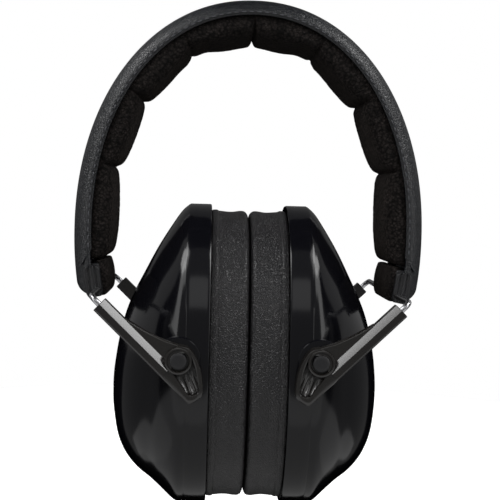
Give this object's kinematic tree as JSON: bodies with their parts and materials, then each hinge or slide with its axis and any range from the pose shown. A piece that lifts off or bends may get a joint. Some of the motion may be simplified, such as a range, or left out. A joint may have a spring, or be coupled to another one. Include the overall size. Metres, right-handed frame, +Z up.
{
  "type": "earmuff hearing protector",
  "caption": "Slim passive earmuff: quilted padded headband, bent wire bails, sliding arms and oval ear cups with soft leatherette cushions.",
  "frame": {"origin": "where the crown of the head meets the headband's pad, midway between the crown lobes' flat undersides", "axes": "+Z up out of the crown, +X towards the cup on the right of the front view, -Y towards the front view"},
  "size_m": [0.111, 0.084, 0.1628],
  "materials": {
    "leatherette": "soft gloss grained synthetic leather, blue-black",
    "cushion_leatherette": "satin, finely grained synthetic leather",
    "plush": "brushed loop pile, matt black",
    "shell_plastic": "moulded ABS, high gloss",
    "smoke_plastic": "moulded smoke-tinted plastic, polished",
    "clip_plastic": "moulded nylon, fine texture",
    "spring_steel": "drawn and polished spring steel",
    "foam": "open-cell polyurethane foam"
  },
  "bodies": {
    "crown": {"headband_cover_crown": "leatherette", "spring_strip_crown": "spring_steel", "pad_crown_left": "plush", "pad_crown_right": "plush"},
    "leg_left": {"headband_cover_left": "leatherette", "spring_strip_left": "spring_steel", "pad_lobe_1_left": "plush", "pad_lobe_2_left": "plush", "pad_lobe_3_left": "plush", "pad_end_left": "plush", "end_clip_left": "clip_plastic"},
    "bail_left": {"wire_bail_left": "spring_steel", "wire_bead_front_left": "spring_steel", "wire_bead_rear_left": "spring_steel"},
    "arms_left": {"arm_front_left": "smoke_plastic", "arm_rear_left": "smoke_plastic"},
    "cup_left": {"cup_shell_left": "shell_plastic", "seal_plate_left": "clip_plastic", "ear_cushion_left": "cushion_leatherette", "foam_insert_left": "foam", "pivot_pin_front_left": "clip_plastic", "pivot_pin_rear_left": "clip_plastic", "pin_clip_front_left": "spring_steel", "pin_clip_rear_left": "spring_steel"},
    "leg_right": {"headband_cover_right": "leatherette", "spring_strip_right": "spring_steel", "pad_lobe_1_right": "plush", "pad_lobe_2_right": "plush", "pad_lobe_3_right": "plush", "pad_end_right": "plush", "end_clip_right": "clip_plastic"},
    "bail_right": {"wire_bail_right": "spring_steel", "wire_bead_front_right": "spring_steel", "wire_bead_rear_right": "spring_steel"},
    "arms_right": {"arm_front_right": "smoke_plastic", "arm_rear_right": "smoke_plastic"},
    "cup_right": {"cup_shell_right": "shell_plastic", "seal_plate_right": "clip_plastic", "ear_cushion_right": "cushion_leatherette", "foam_insert_right": "foam", "pivot_pin_front_right": "clip_plastic", "pivot_pin_rear_right": "clip_plastic", "pin_clip_front_right": "spring_steel", "pin_clip_rear_right": "spring_steel"}
  },
  "joints": [
    {"name": "band_flex_left", "type": "hinge", "parent": "crown", "child": "leg_left", "pos_m": [-0.02546, 0, 0.0059], "axis": [0, 1, 0], "range_deg": [0, 28], "stiffness_Nm_per_rad": 1.3, "springref_deg": -6.88},
    {"name": "bail_swing_left", "type": "hinge", "parent": "leg_left", "child": "bail_left", "pos_m": [-0.04725, 0, -0.07949], "axis": [0, 1, 0], "range_deg": [0, 30]},
    {"name": "height_slide_left", "type": "slide", "parent": "bail_left", "child": "arms_left", "axis": [0.7193, 0, -0.6947], "range_m": [0, 0.0181]},
    {"name": "cup_tilt_left", "type": "hinge", "parent": "arms_left", "child": "cup_left", "pos_m": [-0.02118, 0, -0.09799], "axis": [0, 1, 0], "range_deg": [-30.1, 0]},
    {"name": "band_flex_right", "type": "hinge", "parent": "crown", "child": "leg_right", "pos_m": [0.02546, 0, 0.0059], "axis": [0, -1, 0], "range_deg": [0, 28], "stiffness_Nm_per_rad": 1.3, "springref_deg": -6.88},
    {"name": "bail_swing_right", "type": "hinge", "parent": "leg_right", "child": "bail_right", "pos_m": [0.04725, 0, -0.07949], "axis": [0, -1, 0], "range_deg": [0, 30]},
    {"name": "height_slide_right", "type": "slide", "parent": "bail_right", "child": "arms_right", "axis": [-0.7193, 0, -0.6947], "range_m": [0, 0.0181]},
    {"name": "cup_tilt_right", "type": "hinge", "parent": "arms_right", "child": "cup_right", "pos_m": [0.02118, 0, -0.09799], "axis": [0, -1, 0], "range_deg": [-30.1, 0]}
  ],
  "couplings": [
    {"joint": "band_flex_right", "follows": "band_flex_left", "ratio": 1},
    {"joint": "height_slide_left", "follows": "bail_swing_left", "m_per_rad": 0.03437},
    {"joint": "cup_tilt_left", "follows": "bail_swing_left", "ratio": -1},
    {"joint": "height_slide_right", "follows": "bail_swing_right", "m_per_rad": 0.03437},
    {"joint": "cup_tilt_right", "follows": "bail_swing_right", "ratio": -1}
  ]
}
